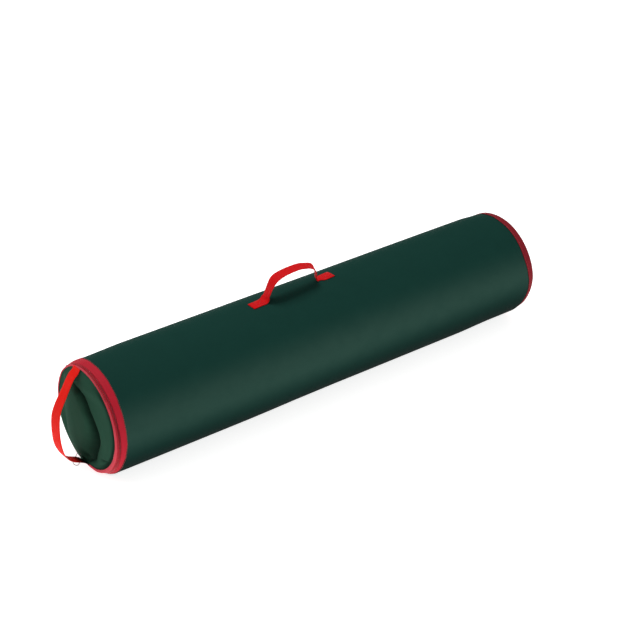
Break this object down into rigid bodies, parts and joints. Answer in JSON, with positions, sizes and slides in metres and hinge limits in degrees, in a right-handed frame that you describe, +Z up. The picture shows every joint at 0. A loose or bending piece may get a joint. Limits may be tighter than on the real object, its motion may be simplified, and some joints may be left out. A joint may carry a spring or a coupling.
{
  "type": "gift wrap organizer",
  "caption": "Long round fabric bag for rolls of gift wrap, lying on its side, with a zipped round lid, a webbing carry handle on top and a webbing loop across the lid.",
  "frame": {"origin": "middle of the narrow strip along the tube's underside that lies on the ground", "axes": "+X along the tube from the zipped lid to the sewn base, +Y to the side where the lid stays sewn on, +Z up towards the carry handle"},
  "size_m": [1.0786, 0.2186, 0.2684],
  "materials": {
    "green_fabric": "plain woven polyester",
    "lid_fabric": "plain woven polyester",
    "lining_fabric": "thin plain weave",
    "clear_sheet": "thin plastic sheet",
    "red_tape": "woven tape",
    "red_binding": "woven binding",
    "red_webbing": "ribbed webbing",
    "red_thread": "sewing thread",
    "red_coil": "satin",
    "zip_metal": "satin"
  },
  "bodies": {
    "tube": {"shell_fabric": "green_fabric", "shell_seam": "green_fabric", "wall_stiffener": "clear_sheet", "inner_lining": "lining_fabric", "base_panel": "green_fabric", "base_stiffener": "clear_sheet", "base_binding": "red_binding", "base_stitching": "red_thread", "zip_tape_body": "red_tape", "zip_tape_stitching": "red_thread", "zip_chain_body": "red_coil", "zip_stop_open": "zip_metal", "zip_stop_closed": "zip_metal", "hinge_tape": "red_tape", "hinge_binding": "red_tape", "hinge_panel": "lid_fabric", "carry_handle_near_end": "red_webbing", "carry_handle_far_end": "red_webbing", "near_end_stitching": "red_thread", "far_end_stitching": "red_thread"},
    "lid": {"lid_panel": "lid_fabric", "lid_binding": "red_tape", "zip_tape_lid": "red_tape", "zip_chain_lid": "red_coil", "lid_stitching": "red_thread", "end_handle_top_end": "red_webbing", "end_handle_bottom_end": "red_webbing"},
    "end_handle": {"end_handle_loop": "red_webbing"},
    "carry_handle": {"carry_handle_loop": "red_webbing"},
    "slider": {"slider_body": "zip_metal"},
    "pull": {"pull_loop": "zip_metal"}
  },
  "joints": [
    {"name": "lid_swing", "type": "hinge", "parent": "tube", "child": "lid", "pos_m": [-0.513, 0.07319, 0.10927], "axis": [0, 0, -1], "range_deg": [0, 150]},
    {"name": "zip_travel", "type": "hinge", "parent": "tube", "child": "slider", "pos_m": [-0.502, 0, 0.10927], "axis": [1, 0, 0], "range_deg": [-238, 14]},
    {"name": "pull_lift", "type": "hinge", "parent": "slider", "child": "pull", "pos_m": [-0.50294, 0.04084, 0.00818], "axis": [0.6015, -0.6512, -0.4627], "range_deg": [0, 110]},
    {"name": "carry_handle_swing", "type": "hinge", "parent": "tube", "child": "carry_handle", "pos_m": [-0.0275, 0.005, 0.23053], "axis": [0.9969, 0.0785, 0], "range_deg": [-60, 60]},
    {"name": "end_handle_swing", "type": "hinge", "parent": "lid", "child": "end_handle", "pos_m": [-0.523, 0.008, 0.10927], "axis": [0, 0, 1], "range_deg": [-28, 40]}
  ]
}
